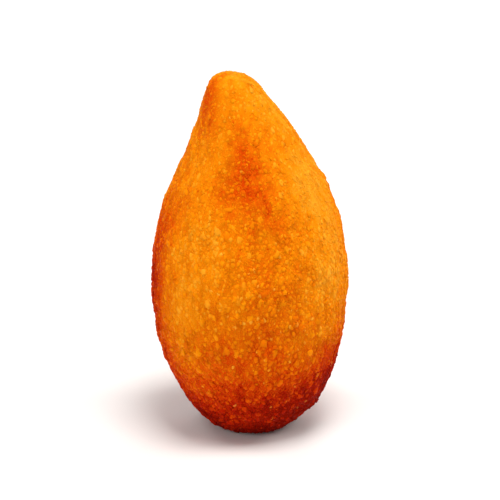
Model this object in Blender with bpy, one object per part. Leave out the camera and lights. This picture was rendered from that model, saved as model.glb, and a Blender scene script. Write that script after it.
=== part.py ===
"""Coxinha: a breaded drop of dough, fried whole and standing on the small flat it was set down on.

The drop is a turned form with a flat foot, a full belly, a straight flank and a blunt round tip. Its skin is
laid out as rings of evenly spaced points. The rings are then pressed by the fingers that shaped the neck,
swollen by the frying, roughened by the crumbs and leaned to one side.
Metres, +Z up. The origin is at the middle of the bounding box, on the surface the foot rests on.
"""

from math import atan2, cos, hypot, pi, radians, sin, sqrt, tan
from random import Random

import bmesh
import bpy
from mathutils import Vector, noise

# Driving dimensions of the plain drop
HEIGHT = 0.063
BELLY_DIAMETER = 0.034
BELLY_LEVEL = 0.027
FOOT_DIAMETER = 0.0115
TIP_RADIUS = 0.0052
FLANK_ANGLE = radians(27.8)
LOWER_FULLNESS = 2.2

# What hands and frying did to it
LEAN = 0.0030
LEAN_START = 0.68 * HEIGHT
LEAN_CURVE = 1.5
FOOT_SHIFT = 0.0005
OVALNESS = 0.02
FOOT_FADE = 0.0035
PRESS_DEPTH = 0.00055
PRESS_LEVEL = 0.73 * HEIGHT
PRESS_REACH = 0.22 * HEIGHT
PRESS_HALF_WIDTH = radians(27)
PRESS_ANGLES = [radians(a) for a in (-148, -98, -42, 39, 92, 141)]
SWELL_SIZE = 0.015
SWELL_HEIGHT = 0.00045
SWELL_START = Vector((8.7, 8.1, 5.1))
DIMPLE_SIZE = 0.0062
DIMPLE_HEIGHT = 0.00022

# The crumb coat: low grain all over, and the odd coarse crumb that stands proud
GRAIN_SIZE = 0.0027
GRAIN_HEIGHT = 0.00009
CRUMB_COUNT = 70
CRUMB_HEIGHT = (0.00012, 0.00034)
CRUMB_SEED = 11
FLANK_CRUMB_ANGLE = radians(8)
FLANK_CRUMB_LEVEL = 0.0436
FLANK_CRUMB_HEIGHT = 0.00045

# Skin layout
POINT_SPACING = 0.00110
FEWEST_RING_POINTS = 6
CURVE_STEPS = 60

CRUST_COLOUR = (0.82, 0.20, 0.008, 1.0)
CRUST_ROUGHNESS = 0.62


def clear_scene():
    for thing in list(bpy.context.scene.objects):
        bpy.data.objects.remove(thing, do_unlink=True)


def smooth_step(low, high, value):
    t = min(max((value - low) / (high - low), 0.0), 1.0)
    return t * t * (3.0 - 2.0 * t)


def side_outline():
    """Radius and level from the foot's rim up to the tip, as closely spaced points."""
    belly = BELLY_DIAMETER / 2
    foot = FOOT_DIAMETER / 2
    steps = [i / CURVE_STEPS for i in range(CURVE_STEPS)]

    # Below the belly: a curve a little squarer than an ellipse, cut off level at the foot
    full_depth = BELLY_LEVEL / (1 - (foot / belly) ** LOWER_FULLNESS) ** (1 / LOWER_FULLNESS)
    lower = []
    for t in steps:
        level = BELLY_LEVEL * t * t
        drop = (BELLY_LEVEL - level) / full_depth
        lower.append((belly * (1 - drop ** LOWER_FULLNESS) ** (1 / LOWER_FULLNESS), level))

    # Above it: the one arc that leaves the belly upright and runs into the straight flank
    tip_centre = HEIGHT - TIP_RADIUS
    flank_top = tip_centre + TIP_RADIUS * sin(FLANK_ANGLE)
    reach = tan(FLANK_ANGLE) * (flank_top - BELLY_LEVEL) + TIP_RADIUS * cos(FLANK_ANGLE) - belly
    shoulder = reach * cos(FLANK_ANGLE) / (1 - cos(FLANK_ANGLE))
    arc = []
    for t in steps + [1.0]:
        turn = FLANK_ANGLE * t
        arc.append((belly - shoulder * (1 - cos(turn)), BELLY_LEVEL + shoulder * sin(turn)))

    # The tip: a ball that the flank touches
    ball = []
    for t in steps + [1.0]:
        turn = FLANK_ANGLE + (pi / 2 - FLANK_ANGLE) * t
        ball.append((TIP_RADIUS * cos(turn), tip_centre + TIP_RADIUS * sin(turn)))
    return lower + arc + ball


def evenly_spaced(outline, spacing):
    """The same line with its points one spacing apart, both ends kept."""
    lengths = [0.0]
    for (r0, z0), (r1, z1) in zip(outline, outline[1:]):
        lengths.append(lengths[-1] + hypot(r1 - r0, z1 - z0))
    count = round(lengths[-1] / spacing)
    points = []
    part = 0
    for i in range(count + 1):
        distance = lengths[-1] * i / count
        while part < len(outline) - 2 and lengths[part + 1] < distance:
            part += 1
        t = (distance - lengths[part]) / (lengths[part + 1] - lengths[part])
        (r0, z0), (r1, z1) = outline[part], outline[part + 1]
        points.append((r0 + (r1 - r0) * t, z0 + (z1 - z0) * t))
    return points


def add_ring(bm, radius, level, offset):
    """A level ring of points one spacing apart, or one point where the radius is nothing."""
    if radius < POINT_SPACING / 2:
        return [(0.0, bm.verts.new((0.0, 0.0, level)))]
    count = max(FEWEST_RING_POINTS, round(2 * pi * radius / POINT_SPACING))
    ring = []
    for i in range(count):
        turn = (i + offset) / count
        angle = 2 * pi * turn
        ring.append((turn, bm.verts.new((radius * cos(angle), radius * sin(angle), level))))
    return ring


def stitch(bm, low, high):
    """Triangles between two rings, each step taken on the ring that lags behind."""
    if len(high) == 1:
        for (_, a), (_, b) in zip(low, low[1:] + low[:1]):
            bm.faces.new((a, b, high[0][1]))
        return
    if len(low) == 1:
        for (_, a), (_, b) in zip(high, high[1:] + high[:1]):
            bm.faces.new((low[0][1], b, a))
        return
    i = 0
    j = 0
    while i < len(low) or j < len(high):
        next_low = low[0][0] + (i + 1) / len(low)
        next_high = high[0][0] + (j + 1) / len(high)
        a = low[i % len(low)][1]
        b = high[j % len(high)][1]
        if j == len(high) or (i < len(low) and next_low <= next_high):
            i += 1
            bm.faces.new((a, low[i % len(low)][1], b))
        else:
            j += 1
            bm.faces.new((a, high[j % len(high)][1], b))


def plain_drop():
    """The turned drop as one closed skin of even triangles."""
    bm = bmesh.new()
    row = POINT_SPACING * sqrt(3) / 2
    foot = evenly_spaced([(0.0, 0.0), (FOOT_DIAMETER / 2, 0.0)], row)
    side = evenly_spaced(side_outline(), row)
    rings = []
    for number, (radius, level) in enumerate(foot + side[1:]):
        rings.append(add_ring(bm, radius, level, 0.5 * (number % 2)))
    for low, high in zip(rings, rings[1:]):
        stitch(bm, low, high)
    bm.normal_update()
    return bm


def press_marks(angle, level):
    """Depth of the shallow flats that the fingers left round the neck."""
    along = (level - PRESS_LEVEL) / PRESS_REACH
    if abs(along) >= 1:
        return 0.0
    depth = 0.0
    for mark in PRESS_ANGLES:
        away = (angle - mark + pi) % (2 * pi) - pi
        if abs(away) < PRESS_HALF_WIDTH:
            depth += cos(away / PRESS_HALF_WIDTH * pi / 2) ** 2
    return PRESS_DEPTH * depth * (1 - along * along) ** 2


def relief(place):
    """How far the skin stands out of the plain drop at a place on it."""
    swell = SWELL_HEIGHT * noise.noise(place / SWELL_SIZE + SWELL_START)
    dimples = DIMPLE_HEIGHT * noise.noise(place / DIMPLE_SIZE)
    grain = GRAIN_HEIGHT * noise.noise(place / GRAIN_SIZE)
    return swell + dimples + grain - press_marks(atan2(place.y, place.x), place.z)


def flank_crumb_point(sides):
    """The point of the skin under the one large crumb on the right flank."""
    level = [v for v in sides if abs(v.co.z - FLANK_CRUMB_LEVEL) < POINT_SPACING]
    return min(level, key=lambda v: abs(atan2(v.co.y, v.co.x) - FLANK_CRUMB_ANGLE))


def shape_by_hand(bm):
    """Press, swell, crumb and lean the drop. The foot stays flat and level."""
    draw = Random(CRUMB_SEED)
    sides = [v for v in bm.verts if v.co.z > FOOT_FADE]
    proud = {v.index: draw.uniform(*CRUMB_HEIGHT) for v in draw.sample(sides, CRUMB_COUNT)}
    proud[flank_crumb_point(sides).index] = FLANK_CRUMB_HEIGHT
    shaped = []
    for v in bm.verts:
        clear_of_foot = smooth_step(0.0, FOOT_FADE, v.co.z)
        out = relief(v.co) * clear_of_foot + proud.get(v.index, 0.0)
        shaped.append(v.co + v.normal * out)
    for v, place in zip(bm.verts, shaped):
        neck = max(place.z - LEAN_START, 0.0) / (HEIGHT - LEAN_START)
        base = 1 - smooth_step(0.0, BELLY_LEVEL, place.z)
        place.x = place.x * (1 - OVALNESS) - LEAN * neck ** LEAN_CURVE + FOOT_SHIFT * base
        place.y = place.y * (1 + OVALNESS)
        v.co = place


def stand_on_origin(bm):
    """Put the middle of the bounding box over the origin and the foot on its level."""
    low = Vector([min(v.co[i] for v in bm.verts) for i in range(3)])
    high = Vector([max(v.co[i] for v in bm.verts) for i in range(3)])
    middle = (low + high) / 2
    for v in bm.verts:
        v.co.x -= middle.x
        v.co.y -= middle.y
        v.co.z = max(v.co.z - low.z, 0.0)


def crust_material():
    crust = bpy.data.materials.new("crust")
    crust.use_nodes = True
    shader = crust.node_tree.nodes["Principled BSDF"]
    shader.inputs["Base Color"].default_value = CRUST_COLOUR
    shader.inputs["Roughness"].default_value = CRUST_ROUGHNESS
    shader.inputs["Metallic"].default_value = 0.0
    return crust


def make_coxinha():
    bm = plain_drop()
    bm.verts.index_update()
    shape_by_hand(bm)
    stand_on_origin(bm)
    mesh = bpy.data.meshes.new("coxinha")
    bm.to_mesh(mesh)
    bm.free()
    mesh.shade_smooth()
    mesh.materials.append(crust_material())
    coxinha = bpy.data.objects.new("coxinha", mesh)
    bpy.context.scene.collection.objects.link(coxinha)


clear_scene()
make_coxinha()
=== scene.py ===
"""Coxinha: one breaded and fried drop of dough, standing on a pale table.

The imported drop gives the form. Its skin is laid finer here and roughened by the frying, and breadcrumbs of
several kinds are bedded in it, as they are on the real thing. Metres, +Z up, the shown side towards -Y.
"""

from math import cos, dist, radians, sin

import bmesh
import bpy
import numpy as np
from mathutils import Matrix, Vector, noise


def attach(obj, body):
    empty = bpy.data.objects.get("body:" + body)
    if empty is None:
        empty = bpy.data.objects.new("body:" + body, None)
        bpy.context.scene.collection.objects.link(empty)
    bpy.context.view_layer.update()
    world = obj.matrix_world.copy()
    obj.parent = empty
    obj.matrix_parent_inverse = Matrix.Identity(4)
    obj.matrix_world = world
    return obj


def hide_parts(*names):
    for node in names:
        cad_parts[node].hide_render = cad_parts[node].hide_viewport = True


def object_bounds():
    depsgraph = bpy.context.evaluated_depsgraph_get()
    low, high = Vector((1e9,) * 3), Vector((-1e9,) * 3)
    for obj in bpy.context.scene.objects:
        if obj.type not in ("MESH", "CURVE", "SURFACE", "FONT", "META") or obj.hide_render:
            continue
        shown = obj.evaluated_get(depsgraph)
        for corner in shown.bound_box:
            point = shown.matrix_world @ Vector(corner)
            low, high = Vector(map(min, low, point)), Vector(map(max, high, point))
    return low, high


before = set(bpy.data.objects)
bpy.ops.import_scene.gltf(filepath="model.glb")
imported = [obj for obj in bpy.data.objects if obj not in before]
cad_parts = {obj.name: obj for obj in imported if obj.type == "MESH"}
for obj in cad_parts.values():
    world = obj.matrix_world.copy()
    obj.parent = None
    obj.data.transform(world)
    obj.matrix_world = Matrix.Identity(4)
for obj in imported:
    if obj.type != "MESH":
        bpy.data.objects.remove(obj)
cad_low, cad_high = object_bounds()


# The fried skin
# The outside of the drop: wheat dough closed round its filling, rolled in fine breadcrumbs and fried whole.
# One thin crisp crust all round, pitted where steam came out, standing on the flat it was set down on.

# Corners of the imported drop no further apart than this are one. Then it is laid finer: cuts in each edge, and
# rounds that ease its facets.
SAME_CORNER = 1e-6
SKIN_CUTS = 3
SKIN_ROUNDS = 5
SKIN_EASE = 0.5

# Broad blisters, lumps and fine ridges drawn out by rolling, the beds of the crumbs, and pits left by steam
BLISTER_SIZE = 0.0042
BLISTER_HEIGHT = 0.00010
LUMP_SIZE = 0.0018
LUMP_HEIGHT = 0.00022
LUMP_STRETCH = 0.6
RIDGE_SIZE = 0.0013
RIDGE_HEIGHT = 0.00008
RIDGE_STRETCH = 0.2
BED_SIZE = 0.0010
BED_HEIGHT = 0.00006
BED_MIDDLE = 0.5
PIT_SIZE = 0.0021
PIT_DEPTH = 0.00014
PIT_START = 0.42

# The foot stays flat, and the fingers pressed the neck smoother than the belly
FOOT_CLEAR = 0.0012
NECK_START = 0.030
NECK_PRESS = 0.50


def fine_skin(node):
    """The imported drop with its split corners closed, laid finer, and its facets eased."""
    bm = bmesh.new()
    bm.from_mesh(node.data)
    bmesh.ops.remove_doubles(bm, verts=bm.verts, dist=SAME_CORNER)
    bmesh.ops.subdivide_edges(bm, edges=bm.edges[:], cuts=SKIN_CUTS, use_grid_fill=True)
    for _ in range(SKIN_ROUNDS):
        bmesh.ops.smooth_vert(
            bm, verts=bm.verts, factor=SKIN_EASE, use_axis_x=True, use_axis_y=True, use_axis_z=True)
    bm.normal_update()
    return bm


def lengthways(place, stretch):
    """The place for a noise that is drawn out up and down the drop, the way it was rolled."""
    return Vector((place.x, place.y, place.z * stretch))


def skin_relief(place):
    """How far frying raised or sank the skin at a place, before any crumb."""
    swell = BLISTER_HEIGHT * noise.noise(place / BLISTER_SIZE)
    swell += LUMP_HEIGHT * noise.noise(lengthways(place, LUMP_STRETCH) / LUMP_SIZE)
    ridge = RIDGE_HEIGHT * noise.noise(lengthways(place, RIDGE_STRETCH) / RIDGE_SIZE)
    to_bed = noise.voronoi(place / BED_SIZE)[0][0]
    bed = BED_HEIGHT * (BED_MIDDLE - to_bed)
    pit = max(noise.noise(place / PIT_SIZE) - PIT_START, 0.0) / (1 - PIT_START)
    return swell + ridge + bed - PIT_DEPTH * pit


def rise_from_foot(level):
    """0 on the foot, so that it stays flat, and 1 a little above it."""
    t = np.clip(level / FOOT_CLEAR, 0.0, 1.0)
    return t * t * (3 - 2 * t)


def roughness_left(level):
    """How much of the crust's roughness the fingers left: all on the belly, less and less up the neck."""
    return 1 - NECK_PRESS * np.clip((level - NECK_START) / (cad_high.z - NECK_START), 0.0, 1.0)


skin_bm = fine_skin(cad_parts["coxinha"])
skin_places = np.array([v.co for v in skin_bm.verts])
skin_normals = np.array([v.normal for v in skin_bm.verts])
lift = np.array([skin_relief(v.co) for v in skin_bm.verts])
lift *= rise_from_foot(skin_places[:, 2]) * roughness_left(skin_places[:, 2])
skin_places += skin_normals * lift[:, None]
skin_places[:, 2] = np.maximum(skin_places[:, 2], 0.0)
for vert, where in zip(skin_bm.verts, skin_places):
    vert.co = where
skin_bm.normal_update()
skin_normals = np.array([v.normal for v in skin_bm.verts])
skin_faces = np.array([[v.index for v in f.verts] for f in skin_bm.faces])
skin_mesh = bpy.data.meshes.new("crust")
skin_bm.to_mesh(skin_mesh)
skin_bm.free()
skin_mesh.shade_smooth()

# Where the middle of the leaning drop lies at each level, from its skin ring by ring
RINGS = 21
ring_edges = np.linspace(0, cad_high.z, RINGS + 1)
ring_of = np.digitize(skin_places[:, 2], ring_edges) - 1
ring_levels = (ring_edges[1:] + ring_edges[:-1]) / 2
ring_middles = [skin_places[ring_of == i, 0].mean() for i in range(RINGS)]

# How brown it fried, as toast, with painted shade carried in the same measure: 0 is pale gold and 1 a deep rust
# brown. It grows towards the foot, fastest low down, which is partly browning and partly painted shade that
# darkens the lower part. It has clouds and lengthways streaks, and the skin between the crumbs is a little
# browner than they are, which is painted shade between them.
TIP_TOAST = 0.22
FALL_TOAST_AND_SHADE = 0.27
FOOT_TOAST_AND_SHADE = 0.76
FOOT_TOAST_AND_SHADE_LEVEL = 0.42
FOOT_TOAST_AND_SHADE_CURVE = 1.5
MOST_TOAST = 1.22
GAP_PAINTED_SHADE = 0.12
CLOUD_SIZE = 0.0085
CLOUD_TOAST = 0.14
STREAK_SIZE = 0.0012
STREAK_STRETCH = 0.33
STREAK_TOAST = 0.12

# Soft patches that are browner, or paler where the toast is negative. Some fried so, and some are painted light
# and shade: the paler ones on both flanks are painted light, the browner middle under the tip and the browner
# patches round the foot are painted shade, and the one low on the right at 74 degrees is a painted shadow cast
# by a neighbour. Degrees round to the right from the front, level, half width in degrees, half height, toast
TOAST_AND_SHADE_PATCHES = [
    # Painted shade: the browner middle under the tip
    (2, 0.0478, 20, 0.0071, 0.28),
    (2, 0.0500, 5, 0.0033, 0.14),
    (-24, 0.0452, 17, 0.0040, 0.11),
    (10, 0.0430, 5, 0.0016, 0.14),
    (19, 0.0407, 7, 0.0018, 0.16),
    (-22, 0.0505, 11, 0.0036, -0.12),
    (28, 0.0598, 16, 0.0030, -0.12),
    (-62, 0.0582, 27, 0.0054, 0.49),
    (-46, 0.0500, 20, 0.0080, -0.06),
    (-77, 0.0290, 18, 0.0125, 0.56),
    (-104, 0.0255, 24, 0.0140, 0.24),
    (-52, 0.0390, 14, 0.0040, 0.15),
    (-40, 0.0275, 15, 0.0150, -0.20),
    (-22, 0.0345, 10, 0.0045, -0.09),
    (-44, 0.0202, 18, 0.0060, -0.18),
    (-66, 0.0125, 16, 0.0040, 0.08),
    (-32, 0.0123, 16, 0.0020, 0.10),
    (-14, 0.0185, 10, 0.0030, 0.07),
    (8, 0.0315, 15, 0.0052, 0.14),
    (15, 0.0360, 34, 0.0060, -0.05),
    (52, 0.0450, 15, 0.0075, -0.11),
    (38, 0.0200, 14, 0.0065, -0.11),
    (65, 0.0385, 25, 0.0180, -0.20),
    (50, 0.0295, 15, 0.0045, -0.18),
    # Painted shadow cast by a neighbour, low on the right
    (74, 0.0112, 25, 0.0080, 0.42),
    (4, 0.0155, 9, 0.0026, -0.10),
    (28, 0.0058, 38, 0.0052, 0.17),
    (150, 0.0400, 30, 0.0110, 0.12),
    (-150, 0.0240, 26, 0.0100, 0.10),
    (112, 0.0300, 20, 0.0130, 0.10),
    (-118, 0.0480, 22, 0.0100, -0.10),
    (178, 0.0540, 24, 0.0070, 0.12),
]


def near_patch(places, across, up, half_width, half_height):
    """1 at the middle of a patch of the skin, falling softly to nothing past its edge."""
    middles = np.interp(places[:, 2], ring_levels, ring_middles)
    round_from_front = np.degrees(np.arctan2(places[:, 0] - middles, -places[:, 1]))
    turned = (round_from_front - across + 180) % 360 - 180
    return np.exp(-(turned / half_width) ** 2 - ((places[:, 2] - up) / half_height) ** 2)


def browning_and_shade(places):
    """The toast of each place, with the painted shade low down and in patches carried in it."""
    level = places[:, 2] / cad_high.z
    toast = TIP_TOAST + FALL_TOAST_AND_SHADE * (1 - level)
    toast += FOOT_TOAST_AND_SHADE * np.maximum(1 - level / FOOT_TOAST_AND_SHADE_LEVEL, 0.0) ** FOOT_TOAST_AND_SHADE_CURVE
    for number, place in enumerate(Vector(p) for p in places):
        toast[number] += CLOUD_TOAST * noise.noise(place / CLOUD_SIZE)
        toast[number] += STREAK_TOAST * noise.noise(lengthways(place, STREAK_STRETCH) / STREAK_SIZE)
    for *patch, browner in TOAST_AND_SHADE_PATCHES:
        toast += browner * near_patch(places, *patch)
    return np.minimum(toast, MOST_TOAST)


def set_toast_and_shade(mesh, values):
    """Write the toast of each corner, painted shade included, into the mesh, where the crust's finish reads it.
    """
    toast = mesh.attributes.new("toast", "FLOAT", "POINT")
    toast.data.foreach_set("value", np.asarray(values, np.float32))


def set_stops(ramp, stops):
    """Give a new ramp, which has only its two ends, the stops listed from low to high."""
    first, *between, last = stops
    for end, (position, colour) in zip(ramp.elements, (first, last)):
        end.position = position
        end.color = (*colour, 1.0)
    for position, colour in between:
        ramp.elements.new(position).color = (*colour, 1.0)


class Wire:
    """A socket of a material. Sums on wires add the nodes that work them out."""

    def __init__(self, socket):
        self.socket = socket

    def node(self, kind, settings, output, sockets):
        """One new node, its settings made first, then its sockets given values or wires."""
        made = self.socket.id_data.nodes.new(kind)
        for name, value in settings.items():
            if name == "stops":
                set_stops(made.color_ramp, value)
            else:
                setattr(made, name, value)
        for name, value in sockets.items():
            target = next(s for s in made.inputs if s.identifier == name)
            if isinstance(value, Wire):
                target.id_data.links.new(value.socket, target)
            else:
                target.default_value = value
        return Wire(next(s for s in made.outputs if s.identifier == output))

    def sum(self, operation, first, second):
        """The answer of one sum, worked out by Vector Math where a wire carries places, or else by Math."""
        if any(isinstance(w, Wire) and w.socket.type == "VECTOR" for w in (first, second)):
            return self.node("ShaderNodeVectorMath", {"operation": operation}, "Vector", {
                "Vector": first, "Vector_001": second})
        return self.node("ShaderNodeMath", {"operation": operation}, "Value", {
            "Value": first, "Value_001": second})

    def __add__(self, other):
        return self.sum("ADD", self, other)

    def __radd__(self, other):
        return self.sum("ADD", other, self)

    def __sub__(self, other):
        return self.sum("SUBTRACT", self, other)

    def __rsub__(self, other):
        return self.sum("SUBTRACT", other, self)

    def __mul__(self, other):
        return self.sum("MULTIPLY", self, other)

    def __rmul__(self, other):
        return self.sum("MULTIPLY", other, self)

    def noise(self, size, detail):
        """Even cloudy values from 0 to 1, about half on average, with clouds of that size."""
        return self.node("ShaderNodeTexNoise", {}, "Fac", {
            "Vector": self, "Scale": 1 / size, "Detail": detail})

    def share(self, low, high):
        """0 below low, 1 above high, and a soft step between."""
        return self.node("ShaderNodeMapRange", {"interpolation_type": "SMOOTHSTEP"}, "Result", {
            "Value": self, "From Min": low, "From Max": high})

    def tinted(self, tint, share):
        """This colour, seen through a tint as far as share says."""
        return self.node("ShaderNodeMix", {"data_type": "RGBA", "blend_type": "MULTIPLY"}, "Result_Color", {
            "Factor_Float": share, "A_Color": self, "B_Color": (*tint, 1.0)})


# The colours of the crust at even steps from no toast to BURNT_TOAST, the darkest of them mostly painted shade
# at the foot, the colour that the palest crumbs lean to, and the tint of the seared spots
PALE_GOLD = (0.92, 0.36, 0.017)
GOLD = (0.90, 0.268, 0.0022)
ORANGE = (0.79, 0.166, 0.0015)
RUST = (0.69, 0.065, 0.001)
DEEP_RUST = (0.44, 0.012, 0.0006)
BURNT_RUST = (0.22, 0.004, 0.0004)
BURNT_TOAST = 1.25
WHEAT = (1.0, 0.50, 0.07)
SEARED_TINT = (0.60, 0.43, 0.20)

# Mottling and seared spots, drawn out lengthways, and the grit that breaks up the shine
MOTTLE_SIZE = 0.0017
MOTTLE_DETAIL = 1.5
MOTTLE_TOAST = 0.34
SEARED_SIZE = 0.0014
SEARED_DETAIL = 1.0
SEARED_FROM = 0.42
SEARED_TO = 0.78
SEARED_DEPTH = 0.38
ROLLED_STRETCH = 0.50
GRIT_SIZE = 0.00032
GRIT_DETAIL = 2.0
GRIT_HEIGHT = 0.00006
GRIT_STRENGTH = 0.5

# A dry crust, with hardly any shine and a little light let in under the surface
LEAST_ROUGH = 0.55
MOTTLE_ROUGH = 0.20
SHINE = 0.03
SHINE_TINT = (1.0, 0.50, 0.10, 1.0)
LIGHT_LET_IN = 0.12
LIGHT_REACH = 0.0005
LIGHT_REACH_BY_COLOUR = (1.0, 0.32, 0.08)


def crust_finish(name, paler=0.0):
    """Fried crust, dry and a little velvety: as dark as its toast and painted shade say, or that much paler."""
    colours = np.array([PALE_GOLD, GOLD, ORANGE, RUST, DEEP_RUST, BURNT_RUST])
    colours += (np.array(WHEAT) - colours) * paler
    stops = [(i / (len(colours) - 1), tuple(colour)) for i, colour in enumerate(colours)]
    material = bpy.data.materials.new(name)
    material.use_nodes = True
    shader = material.node_tree.nodes["Principled BSDF"]
    links = material.node_tree.links
    start = Wire(shader.outputs["BSDF"])
    place = start.node("ShaderNodeTexCoord", {}, "Object", {})
    toast = start.node("ShaderNodeAttribute", {"attribute_name": "toast"}, "Fac", {})
    rolled = place * (1.0, 1.0, ROLLED_STRETCH)
    mottle = rolled.noise(MOTTLE_SIZE, MOTTLE_DETAIL)
    browned_and_shaded = (toast + (mottle - 0.5) * MOTTLE_TOAST) * (1 / BURNT_TOAST)
    colour = browned_and_shaded.node("ShaderNodeValToRGB", {"stops": stops}, "Color", {"Fac": browned_and_shaded})
    seared = rolled.noise(SEARED_SIZE, SEARED_DETAIL).share(SEARED_FROM, SEARED_TO) * SEARED_DEPTH
    links.new(colour.tinted(SEARED_TINT, seared).socket, shader.inputs["Base Color"])
    rough = LEAST_ROUGH + MOTTLE_ROUGH * mottle
    links.new(rough.socket, shader.inputs["Roughness"])
    grit = place.node("ShaderNodeBump", {}, "Normal", {
        "Strength": GRIT_STRENGTH, "Distance": GRIT_HEIGHT, "Height": place.noise(GRIT_SIZE, GRIT_DETAIL)})
    links.new(grit.socket, shader.inputs["Normal"])
    shader.inputs["Specular IOR Level"].default_value = SHINE
    shader.inputs["Specular Tint"].default_value = SHINE_TINT
    shader.inputs["Subsurface Weight"].default_value = LIGHT_LET_IN
    shader.inputs["Subsurface Radius"].default_value = LIGHT_REACH_BY_COLOUR
    shader.inputs["Subsurface Scale"].default_value = LIGHT_REACH
    return material


skin_toast_and_shade = browning_and_shade(skin_places)
# Painted shade between the crumbs: the skin under them is set browner than they are
set_toast_and_shade(skin_mesh, skin_toast_and_shade + GAP_PAINTED_SHADE)
skin_mesh.materials.append(crust_finish("fried skin"))
crust = bpy.data.objects.new("crust", skin_mesh)
bpy.context.scene.collection.objects.link(crust)
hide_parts("coxinha")
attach(crust, "root")


# The crumb coat
# Dry white bread ground fine, pressed into the wet dough by rolling and fried with it until golden.
# Each crumb is a small broken piece, bedded more than half in the skin, toasted a little more or less.

# The lowest crumbs sit just above the foot, and nothing reaches below the table
LOWEST_CRUMB = 0.00035
LEAST_LEVEL = 0.00002

# Places tried for each crumb wanted, and the chance of one that lies far from the patches of a crowded kind
TRIES_EACH = 8
STRAYS = 0.05

# How far a crumb's corners lie from its middle, as shares of half its width, how far it is drawn out, and how
# far its long way strays from up and down the drop
CORNER_REACH = (0.64, 1.28)
LONG_WAY = (1.08, 1.32)
ASKEW = 0.38

# Its corners caught the heat a little more or less than its middle
CORNER_TOAST = 0.06

crumb_finish = crust_finish("fried breadcrumb")
wheat_finish = crust_finish("pale breadcrumb", paler=0.25)


def grain():
    """The corners and faces of the smallest crumb: eight faces, as broken as salt."""
    corners = np.array([(1, 0, 0), (-1, 0, 0), (0, 1, 0), (0, -1, 0), (0, 0, 1), (0, 0, -1)], float)
    faces = np.array([(0, 2, 4), (2, 1, 4), (1, 3, 4), (3, 0, 4), (2, 0, 5), (1, 2, 5), (3, 1, 5), (0, 3, 5)])
    return corners, faces


def lump(cuts):
    """The corners and faces of a larger crumb: a ball of 20 faces for one cut, or of 80 for two."""
    bm = bmesh.new()
    bmesh.ops.create_icosphere(bm, subdivisions=cuts, radius=1.0)
    bm.verts.index_update()
    corners = np.array([v.co for v in bm.verts])
    faces = np.array([[v.index for v in f.verts] for f in bm.faces])
    bm.free()
    return corners, faces


def unit(arrows):
    """The same arrows, each made one long."""
    return arrows / np.linalg.norm(arrows, axis=-1, keepdims=True)


def cells_round(x, y, z):
    """A cell of a grid and the 26 that touch it."""
    steps = (-1, 0, 1)
    return [(x + i, y + j, z + k) for i in steps for j in steps for k in steps]


def well_apart(places, allowed, spacing, most):
    """The numbers of the first places that are allowed and no nearer than spacing to one already taken."""
    cells = np.floor(places / spacing).astype(int)
    taken = {}
    chosen = []
    for number, (cell, place) in enumerate(zip(cells.tolist(), places.tolist())):
        if not allowed[number]:
            continue
        near = [other for key in cells_round(*cell) for other in taken.get(key, ())]
        if all(dist(place, other) >= spacing for other in near):
            taken.setdefault(tuple(cell), []).append(place)
            chosen.append(number)
            if len(chosen) == most:
                break
    return chosen


def spread_over_skin(draw, spacing, most, crowds):
    """Places scattered over the skin, none nearer to another than spacing, with normal, toast and painted
    shade.

    They lie evenly all over it or, where crowds are given, mostly in those patches. A place is given by the
    shares that the three corners of its face have in it.
    """
    corners = skin_places[skin_faces]
    areas = np.linalg.norm(np.cross(corners[:, 1] - corners[:, 0], corners[:, 2] - corners[:, 0]), axis=1)
    tries = most * TRIES_EACH
    picked = skin_faces[draw.choice(len(skin_faces), tries, p=areas / areas.sum())]
    along = np.sqrt(draw.random(tries))
    across = draw.random(tries)
    shares = np.stack((1 - along, along * (1 - across), along * across), axis=1)
    places = np.einsum("nk,nkj->nj", shares, skin_places[picked])
    normals = unit(np.einsum("nk,nkj->nj", shares, skin_normals[picked]))
    toasts_and_shades = np.einsum("nk,nk->n", shares, skin_toast_and_shade[picked])
    allowed = places[:, 2] > LOWEST_CRUMB
    if crowds:
        thickness = np.max([near_patch(places, *crowd) for crowd in crowds], axis=0)
        allowed &= draw.random(tries) < thickness + STRAYS
    chosen = well_apart(places, allowed, spacing, most)
    return places[chosen], normals[chosen], toasts_and_shades[chosen]


def broken_crumbs(draw, count, corners, widths, flatness):
    """The corners of each crumb about its own middle: turned anyhow, broken, drawn out and flattened."""
    first = unit(draw.normal(size=(count, 3)))
    second = unit(np.cross(first, draw.normal(size=(count, 3))))
    turns = np.stack((first, second, np.cross(first, second)), axis=2)
    half_width = draw.uniform(*widths, count) / 2
    long_way = draw.uniform(*LONG_WAY, count)
    high_way = draw.uniform(*flatness, count)
    reach = draw.uniform(*CORNER_REACH, (count, len(corners), 1))
    crumbs = np.einsum("nij,kj->nki", turns, corners) * reach * half_width[:, None, None]
    return crumbs * np.stack((1 / long_way, long_way, high_way), axis=1)[:, None]


def bedded(draw, crumbs, places, out, proud):
    """The corners of the crumbs in their places, each crumb's top standing that far out of the skin."""
    count = len(crumbs)
    rise = draw.uniform(*proud, count) * roughness_left(places[:, 2]) - crumbs[:, :, 2].max(axis=1)
    side = unit(np.cross(out, np.array((0.0, 0.0, 1.0)) + ASKEW * draw.normal(size=(count, 3))))
    axes = np.stack((side, np.cross(out, side), out), axis=1)
    points = np.einsum("nki,nij->nkj", crumbs, axes) + (places + out * rise[:, None])[:, None]
    points[:, :, 2] = np.maximum(points[:, :, 2], LEAST_LEVEL)
    return points


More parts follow.
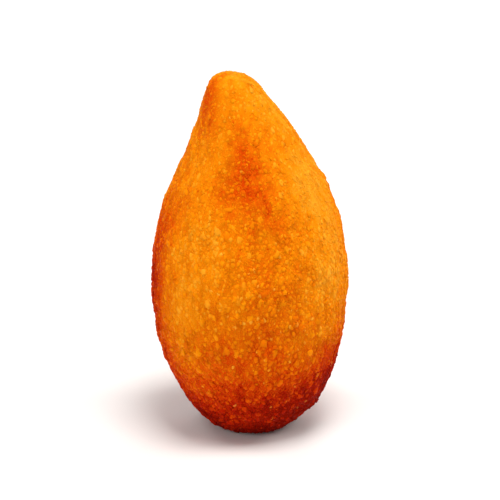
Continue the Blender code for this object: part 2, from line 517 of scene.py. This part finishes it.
def crumb_coat(name, shape, seed, most, spacing, widths, flatness, proud, browner, uneven, crowds=(),
               finish=crumb_finish):
    """One kind of crumb as one joined mesh of separate broken pieces, each bedded in the skin."""
    draw = np.random.default_rng(seed)
    places, out, toasts_and_shades = spread_over_skin(draw, spacing, most, crowds)
    corners, faces = shape
    count = len(places)
    crumbs = broken_crumbs(draw, count, corners, widths, flatness)
    points = bedded(draw, crumbs, places, out, proud).reshape(-1, 3)
    all_faces = (faces[None] + np.arange(count)[:, None, None] * len(corners)).reshape(-1, 3)
    mesh = bpy.data.meshes.new(name)
    mesh.from_pydata(points.tolist(), [], all_faces.tolist())
    mesh.shade_smooth()
    # A crumb takes the toast and the painted shade of the skin under it, and its own kind's browning and
    # unevenness
    toasted_and_shaded = toasts_and_shades + browner + draw.uniform(-uneven, uneven, count)
    toasted_and_shaded = toasted_and_shaded[:, None] + draw.uniform(-CORNER_TOAST, CORNER_TOAST, (count, len(corners)))
    set_toast_and_shade(mesh, toasted_and_shaded.ravel())
    mesh.materials.append(finish)
    coat = bpy.data.objects.new(name, mesh)
    bpy.context.scene.collection.objects.link(coat)
    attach(coat, "root")


# The coat by size: most of it is dust in two tints, with fewer and fewer larger crumbs among it
crumb_coat(
    "fine_crumbs", grain(), seed=1, most=24500, spacing=0.00030, widths=(0.00034, 0.00062),
    flatness=(0.60, 0.95), proud=(0.00005, 0.00014), browner=-0.02, uneven=0.04)
crumb_coat(
    "amber_crumbs", grain(), seed=2, most=24500, spacing=0.00030, widths=(0.00034, 0.00062),
    flatness=(0.60, 0.95), proud=(0.00003, 0.00011), browner=0.01, uneven=0.04)
crumb_coat(
    "medium_crumbs", lump(1), seed=3, most=5200, spacing=0.00074, widths=(0.00058, 0.00105),
    flatness=(0.50, 0.80), proud=(0.00010, 0.00025), browner=-0.04, uneven=0.12)
crumb_coat(
    "coarse_crumbs", lump(2), seed=4, most=1150, spacing=0.00155, widths=(0.00090, 0.00150),
    flatness=(0.35, 0.60), proud=(0.00010, 0.00028), browner=-0.03, uneven=0.15)

# The odd ones: crumbs that caught, crumbs that stayed pale, and wheat-coloured specks that lie in crowds.
# A crowd is given as a patch is: degrees round from the front, level, half width in degrees, half height.
WHEAT_CROWDS = [
    (24, 0.0180, 26, 0.0090),
    (14, 0.0290, 26, 0.0060),
    (170, 0.0200, 34, 0.0090),
    (-110, 0.0300, 20, 0.0070),
]
crumb_coat(
    "toasted_crumbs", lump(1), seed=5, most=560, spacing=0.00190, widths=(0.00035, 0.00065),
    flatness=(0.50, 0.80), proud=(0.00006, 0.00014), browner=0.22, uneven=0.08)
crumb_coat(
    "pale_crumbs", lump(1), seed=6, most=400, spacing=0.00130, widths=(0.00040, 0.00088),
    flatness=(0.50, 0.80), proud=(0.00008, 0.00017), browner=-0.24, uneven=0.08)
crumb_coat(
    "wheat_crumbs", lump(1), seed=7, most=190, spacing=0.00095, widths=(0.00035, 0.00110),
    flatness=(0.50, 0.80), proud=(0.00008, 0.00020), browner=-0.22, uneven=0.14,
    crowds=WHEAT_CROWDS, finish=wheat_finish)


# The table
# A plain pale top, matt and even, that reaches past the view on every side.
# The drop just stands on it, so it is no part of the piece.

TABLE_REACH = 2.0
TABLE_COLOUR = (0.88, 0.87, 0.86, 1.0)
TABLE_ROUGHNESS = 0.8
TABLE_SHINE = 0.2

table_corners = [(x * TABLE_REACH, y * TABLE_REACH, 0) for x, y in ((-1, -1), (1, -1), (1, 1), (-1, 1))]
table_mesh = bpy.data.meshes.new("floor")
table_mesh.from_pydata(table_corners, [], [(0, 1, 2, 3)])
table_top = bpy.data.materials.new("pale table top")
table_top.use_nodes = True
table_shader = table_top.node_tree.nodes["Principled BSDF"]
table_shader.inputs["Base Color"].default_value = TABLE_COLOUR
table_shader.inputs["Roughness"].default_value = TABLE_ROUGHNESS
table_shader.inputs["Specular IOR Level"].default_value = TABLE_SHINE
table_mesh.materials.append(table_top)
floor = bpy.data.objects.new("floor", table_mesh)
bpy.context.scene.collection.objects.link(floor)


# The light
# Soft boxes round the table: a broad one high overhead, a fill at the front left, one at each shoulder that
# catches the edges of the crust, and one behind for the far side. The white room adds a little all round.

MIDDLE = Vector((0.0, 0.0, cad_high.z / 2))
ROOM_COLOUR = (1.0, 0.99, 0.98, 1.0)
ROOM_LIGHT = 0.2


def soft_box(name, place, width, watts, colour):
    """A square lamp that faces the middle of the drop."""
    light = bpy.data.lights.new(name, "AREA")
    light.shape = "SQUARE"
    light.size = width
    light.energy = watts
    light.color = colour
    box = bpy.data.objects.new(name, light)
    bpy.context.scene.collection.objects.link(box)
    box.location = place
    box.rotation_euler = (MIDDLE - Vector(place)).to_track_quat("-Z", "Y").to_euler()


soft_box("overhead", place=(0.13, -0.22, 1.00), width=0.43, watts=8.05, colour=(1.0, 0.99, 0.97))
soft_box("left_fill", place=(-0.50, -0.48, 0.33), width=0.44, watts=1.86, colour=(1.0, 0.98, 0.96))
soft_box("right_shoulder", place=(0.46, 0.02, 0.38), width=0.26, watts=1.20, colour=(1.0, 0.97, 0.93))
soft_box("left_shoulder", place=(-0.42, 0.08, 0.64), width=0.26, watts=0.90, colour=(1.0, 0.97, 0.93))
soft_box("back_fill", place=(0.10, 0.66, 0.50), width=0.44, watts=1.50, colour=(1.0, 0.98, 0.96))

room = bpy.data.worlds.new("room")
room.use_nodes = True
room_walls = room.node_tree.nodes["Background"]
room_walls.inputs["Color"].default_value = ROOM_COLOUR
room_walls.inputs["Strength"].default_value = ROOM_LIGHT
bpy.context.scene.world = room
bpy.context.scene.view_settings.view_transform = "Standard"
bpy.context.scene.view_settings.look = "None"


# The camera
# In front of the drop and a little above it, as the photo was taken, with a long lens.
# The lens is worked out for a square frame, which the drop's height fills to about three quarters.

CAMERA_ELEVATION = radians(20)
CAMERA_DISTANCE = 0.50
CAMERA_NEAREST = 0.01
CAMERA_FURTHEST = 10.0
FILM_WIDTH_MM = 36.0
FILLS = 0.74

camera_data = bpy.data.cameras.new("camera")
camera = bpy.data.objects.new("camera", camera_data)
bpy.context.scene.collection.objects.link(camera)
back = Vector((0.0, -cos(CAMERA_ELEVATION), sin(CAMERA_ELEVATION)))
camera.location = MIDDLE + back * CAMERA_DISTANCE
camera.rotation_euler = (-back).to_track_quat("-Z", "Y").to_euler()
camera_data.sensor_width = FILM_WIDTH_MM
camera_data.lens = FILM_WIDTH_MM * CAMERA_DISTANCE / (cad_high.z / FILLS)
camera_data.clip_start = CAMERA_NEAREST
camera_data.clip_end = CAMERA_FURTHEST
bpy.context.scene.camera = camera
